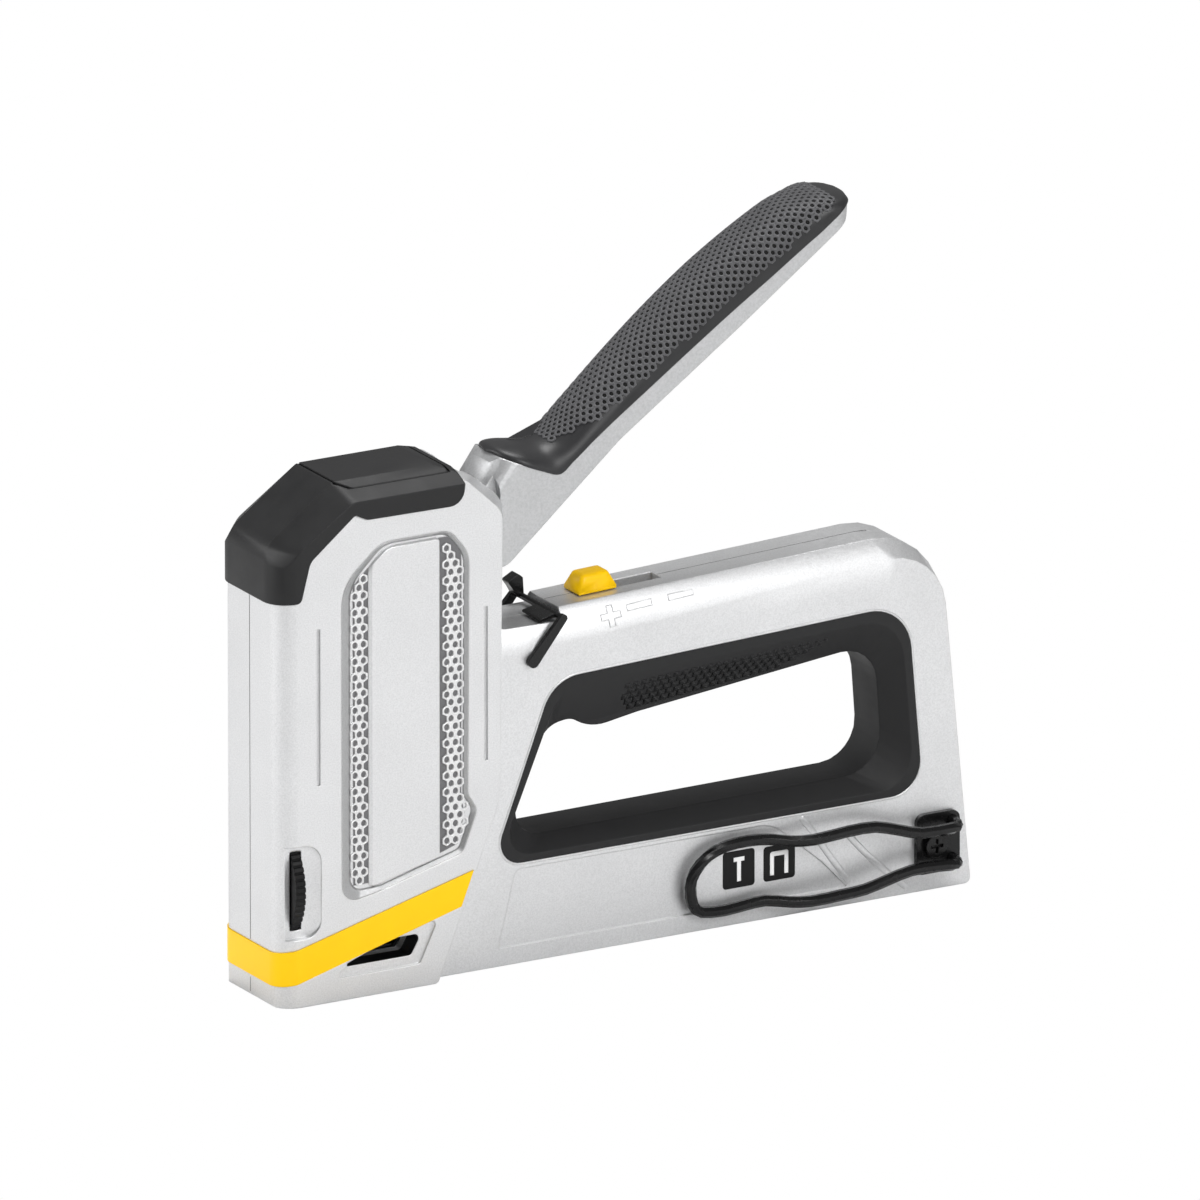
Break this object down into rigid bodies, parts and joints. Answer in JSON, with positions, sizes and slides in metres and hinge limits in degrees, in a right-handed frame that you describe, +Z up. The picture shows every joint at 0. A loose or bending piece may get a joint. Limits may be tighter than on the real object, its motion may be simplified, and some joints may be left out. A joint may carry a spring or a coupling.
{
  "type": "staple gun",
  "caption": "Heavy-duty hand staple gun with a long rubber-gripped squeeze lever, a hand opening in the body, a spring striker in the head and a staple magazine in the base.",
  "frame": {"origin": "middle of the nose's underside, at the front face of the head", "axes": "+X from the nose towards the heel, +Y across towards the side with the housing screws, +Z up, towards the lever"},
  "size_m": [0.196, 0.0349, 0.1803],
  "materials": {
    "cast_aluminium": "fine-grained satin die casting",
    "lever_metal": "satin cast metal, slightly darker than the body",
    "black_rubber": "moulded rubber, matt with a small pattern on the grips",
    "yellow_plastic": "moulded yellow plastic",
    "black_plastic": "moulded black plastic",
    "black_wire": "gloss black coating on steel",
    "spring_steel": "bright zinc-plated steel",
    "tool_steel": "dark hardened steel"
  },
  "bodies": {
    "body": {"near_housing": "cast_aluminium", "far_housing": "cast_aluminium", "bump_cap": "black_rubber", "cap_insert": "black_rubber", "nose_band": "yellow_plastic", "window_liner": "black_rubber", "housing_screws": "tool_steel", "front_plate": "spring_steel", "back_plate": "spring_steel", "dial_stud": "tool_steel", "spring_seat": "spring_steel", "bumper": "black_rubber", "lever_pin": "spring_steel", "pin_clips": "tool_steel", "spring_anchor": "spring_steel", "return_spring": "spring_steel", "main_spring": "spring_steel", "magazine_channel": "spring_steel", "hook_wire": "black_wire", "hook_bracket": "black_plastic", "hook_screw": "tool_steel"},
    "lever": {"lever_frame": "lever_metal", "lever_grip": "black_rubber", "roller_pin": "tool_steel"},
    "roller": {"lift_roller": "spring_steel"},
    "striker": {"striker_block": "tool_steel", "driver_blade": "tool_steel", "striker_rivets": "spring_steel"},
    "dial": {"guide_dial": "black_plastic"},
    "power_slide": {"power_slider": "yellow_plastic", "slider_bar": "spring_steel", "slider_screw": "tool_steel", "detent_spring": "spring_steel"},
    "lock": {"lock_bail": "black_plastic"},
    "track": {"staple_track": "spring_steel", "track_handle": "black_plastic", "button_spring": "spring_steel", "pusher_spring": "spring_steel"},
    "pusher": {"pusher": "tool_steel"},
    "button": {"release_button": "yellow_plastic"}
  },
  "joints": [
    {"name": "lever_pivot", "type": "hinge", "parent": "body", "child": "lever", "pos_m": [0.0534, 0, 0.119], "axis": [0, 1, 0], "range_deg": [0, 34], "stiffness_Nm_per_rad": 0.6, "springref_deg": -40.11, "deforming": ["return_spring"]},
    {"name": "roller_spin", "type": "hinge", "parent": "lever", "child": "roller", "pos_m": [0.02944, 0, 0.10095], "axis": [0, 1, 0], "continuous": true},
    {"name": "striker_slide", "type": "slide", "parent": "body", "child": "striker", "axis": [0, 0, 1], "range_m": [0, 0.0166], "stiffness_N_per_m": 600, "springref_m": -0.004, "deforming": ["main_spring"]},
    {"name": "dial_spin", "type": "hinge", "parent": "body", "child": "dial", "pos_m": [0.0053, 0, 0.0293], "axis": [1, 0, 0], "range_deg": [0, 60]},
    {"name": "power_slide_travel", "type": "slide", "parent": "body", "child": "power_slide", "axis": [0.9992, 0, 0.0389], "range_m": [0, 0.0146]},
    {"name": "lock_bail_pivot", "type": "hinge", "parent": "body", "child": "lock", "pos_m": [0.0717, 0, 0.0764], "axis": [0, 1, 0], "range_deg": [-36, 0]},
    {"name": "track_slide", "type": "slide", "parent": "body", "child": "track", "axis": [1, 0, 0], "range_m": [0, 0.09]},
    {"name": "pusher_slide", "type": "slide", "parent": "track", "child": "pusher", "axis": [1, 0, 0], "range_m": [0, 0.096], "stiffness_N_per_m": 6, "springref_m": -0.05, "deforming": ["pusher_spring"]},
    {"name": "button_press", "type": "slide", "parent": "track", "child": "button", "axis": [-1, 0, 0], "range_m": [0, 0.0015], "stiffness_N_per_m": 200, "springref_m": -0.001, "deforming": ["button_spring"]}
  ],
  "couplings": [
    {"joint": "striker_slide", "follows": "lever_pivot", "m_per_rad": 0.02781}
  ]
}
